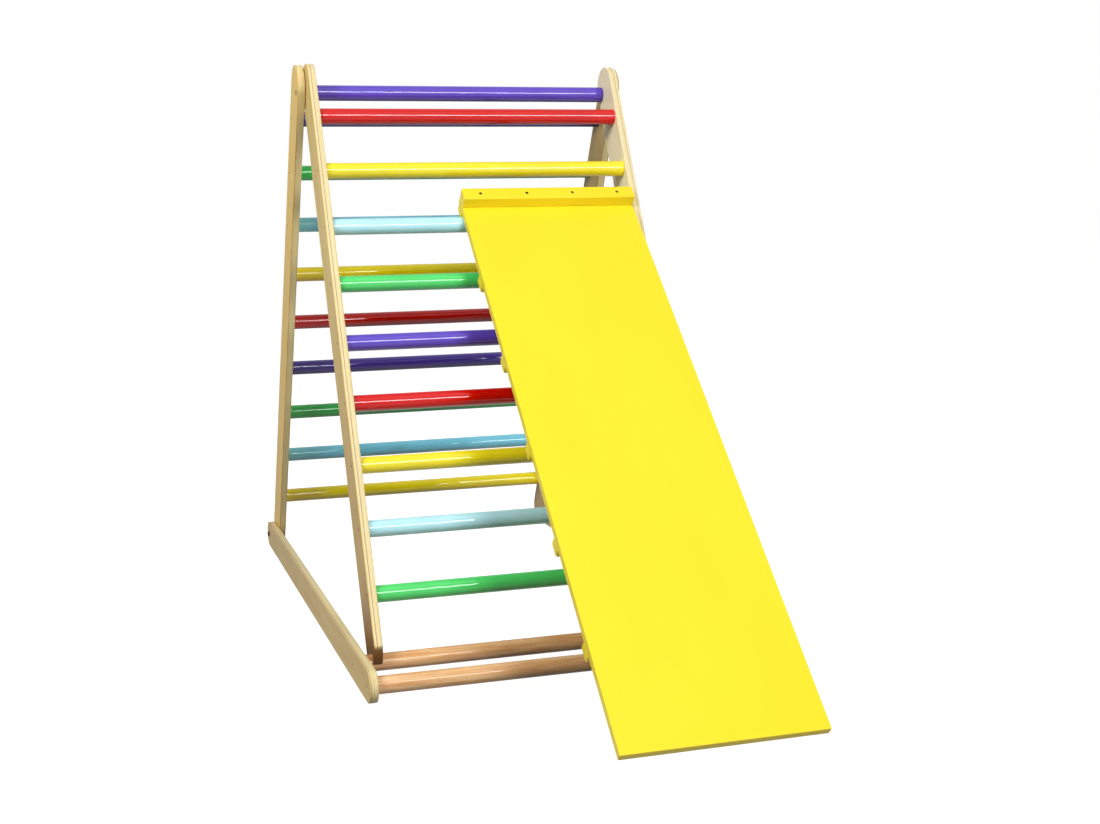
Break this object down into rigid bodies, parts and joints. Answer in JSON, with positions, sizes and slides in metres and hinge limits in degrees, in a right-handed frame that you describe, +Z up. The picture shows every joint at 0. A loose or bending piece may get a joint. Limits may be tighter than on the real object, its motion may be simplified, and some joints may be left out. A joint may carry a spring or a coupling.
{
  "type": "children's climbing ladder",
  "caption": "Folding wooden climbing triangle for small children: hinged ladders with coloured rungs, a floor frame that holds their feet apart, and a yellow sliding board hooked over a rung",
  "frame": {"origin": "on the floor, midway along and across the whole part", "axes": "+X across the rungs, towards the sliding board's side; +Y from the sliding board's foot towards the rear ladder; +Z up"},
  "size_m": [0.6986, 1.5999, 1.069],
  "materials": {
    "birch_ply": "clear satin lacquer over birch ply",
    "natural_dowel": "clear gloss lacquer over hardwood",
    "purple_paint": "gloss purple paint over a beech dowel",
    "red_paint": "gloss red paint over a beech dowel",
    "yellow_paint": "gloss yellow paint over a beech dowel",
    "light_blue_paint": "gloss light blue paint over a beech dowel",
    "green_paint": "gloss green paint over a beech dowel",
    "blue_paint": "gloss blue paint over a beech dowel",
    "board_yellow_paint": "satin yellow paint over ply and solid wood",
    "dark_steel": "blackened steel screws",
    "bright_steel": "zinc plated steel",
    "insert_brass": "machined brass"
  },
  "bodies": {
    "rear_ladder": {"foot_nuts": "bright_steel", "foot_pivot_bolts": "dark_steel", "foot_washers": "bright_steel", "rear_rung_1_purple": "purple_paint", "rear_rung_2_green": "green_paint", "rear_rung_3_blue": "blue_paint", "rear_rung_4_yellow": "yellow_paint", "rear_rung_5_red": "red_paint", "rear_rung_6_purple": "purple_paint", "rear_rung_7_green": "green_paint", "rear_rung_8_blue": "blue_paint", "rear_rung_9_yellow": "yellow_paint", "rear_rung_screws": "dark_steel", "rear_stile_left": "birch_ply", "rear_stile_right": "birch_ply"},
    "front_ladder": {"front_rung_10_green": "green_paint", "front_rung_1_purple": "purple_paint", "front_rung_2_red": "red_paint", "front_rung_3_yellow": "yellow_paint", "front_rung_4_light_blue": "light_blue_paint", "front_rung_5_green": "green_paint", "front_rung_6_purple": "purple_paint", "front_rung_7_red": "red_paint", "front_rung_8_yellow": "yellow_paint", "front_rung_9_light_blue": "light_blue_paint", "front_rung_screws": "dark_steel", "front_stile_left": "birch_ply", "front_stile_right": "birch_ply", "rung_inserts": "insert_brass", "top_pivot_bolts": "dark_steel", "top_pivot_washers": "bright_steel"},
    "floor_frame": {"base_dowel_front": "natural_dowel", "base_dowel_rear": "natural_dowel", "base_dowel_screws": "dark_steel", "base_plank_left": "birch_ply", "base_plank_right": "birch_ply"},
    "sliding_board": {"batten_screws": "dark_steel", "ramp_batten_1": "board_yellow_paint", "ramp_batten_2": "board_yellow_paint", "ramp_batten_3": "board_yellow_paint", "ramp_batten_4": "board_yellow_paint", "ramp_batten_5": "board_yellow_paint", "ramp_block_screws": "dark_steel", "ramp_board": "board_yellow_paint", "ramp_hook_block": "board_yellow_paint", "ramp_top_block": "board_yellow_paint"}
  },
  "joints": [
    {"name": "front_fold", "type": "hinge", "parent": "rear_ladder", "child": "front_ladder", "pos_m": [0, 0.23818, 1.015], "axis": [1, 0, 0], "range_deg": [0, 53]},
    {"name": "floor_frame_fold", "type": "hinge", "parent": "rear_ladder", "child": "floor_frame", "pos_m": [0, 0.76818, 0.028], "axis": [1, 0, 0], "range_deg": [0, 291.5]},
    {"name": "board_tilt", "type": "hinge", "parent": "front_ladder", "child": "sliding_board", "pos_m": [0, 0.06244, 0.76011], "axis": [-1, 0, 0], "range_deg": [0, 40]}
  ],
  "couplings": [
    {"joint": "floor_frame_fold", "follows": "front_fold", "ratio": 5.5}
  ]
}
